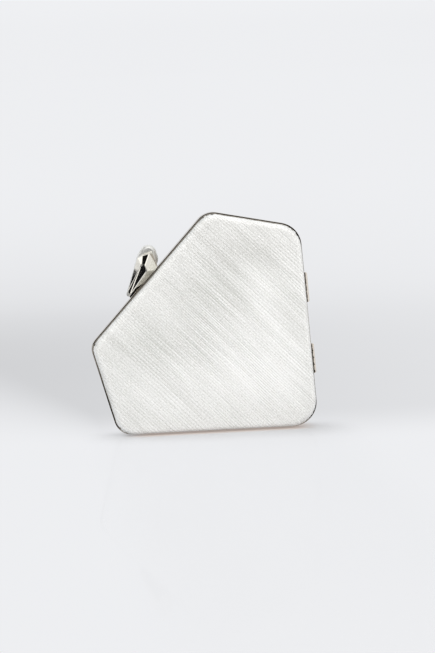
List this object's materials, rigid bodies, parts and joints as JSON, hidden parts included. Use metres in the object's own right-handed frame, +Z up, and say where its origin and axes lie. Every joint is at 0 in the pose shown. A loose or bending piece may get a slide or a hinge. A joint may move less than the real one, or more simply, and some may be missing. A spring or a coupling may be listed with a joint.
{
  "type": "minaudiere",
  "caption": "Hard-shell evening clutch with an angular outline: fabric-covered half shells in metal frames, hinged along one side and closed by a gem clasp.",
  "frame": {"origin": "on the surface that it stands on, under the middle of its bounding box", "axes": "+Z up, front face towards -Y, hinges on the +X side, parting plane of the halves at Y = 0"},
  "size_m": [0.1792, 0.042, 0.1739],
  "materials": {
    "pleated_fabric": "pale silver pleated fabric with metallic yarn",
    "frame_metal": "polished nickel plate",
    "hinge_metal": "satin nickel plate",
    "gem_metal": "mirror-polished nickel plate",
    "steel": "plain steel",
    "shell_board": "moulded",
    "foam": "thin padding",
    "satin": "satin lining on card"
  },
  "bodies": {
    "rear_half": {"rear_shell": "shell_board", "rear_wadding": "foam", "rear_cover": "pleated_fabric", "rear_rim": "frame_metal", "rear_lining": "satin", "slip_pocket": "satin", "upper_hinge_rear_leaf": "hinge_metal", "lower_hinge_rear_leaf": "hinge_metal", "upper_hinge_pin": "steel", "lower_hinge_pin": "steel", "rear_hinge_rivets": "steel", "clasp_bracket": "steel", "clasp_pin": "steel", "clasp_spring": "steel"},
    "front_half": {"front_shell": "shell_board", "front_wadding": "foam", "front_cover": "pleated_fabric", "front_rim": "frame_metal", "front_lining": "satin", "upper_hinge_front_leaf": "hinge_metal", "lower_hinge_front_leaf": "hinge_metal", "front_hinge_rivets": "steel", "front_gem": "gem_metal", "gem_screws": "steel", "clasp_keeper": "steel"},
    "clasp": {"clasp_rocker": "steel", "rear_gem": "gem_metal"}
  },
  "joints": [
    {"name": "front_open", "type": "hinge", "parent": "rear_half", "child": "front_half", "pos_m": [0.08565, 0, 0.07993], "axis": [-0.0556, 0, 0.9985], "range_deg": [0, 120]},
    {"name": "clasp_tilt", "type": "hinge", "parent": "rear_half", "child": "clasp", "pos_m": [-0.04012, 0.003, 0.12152], "axis": [-0.6837, 0, -0.7297], "range_deg": [0, 10], "stiffness_Nm_per_rad": 0.1, "springref_deg": -5.73}
  ]
}
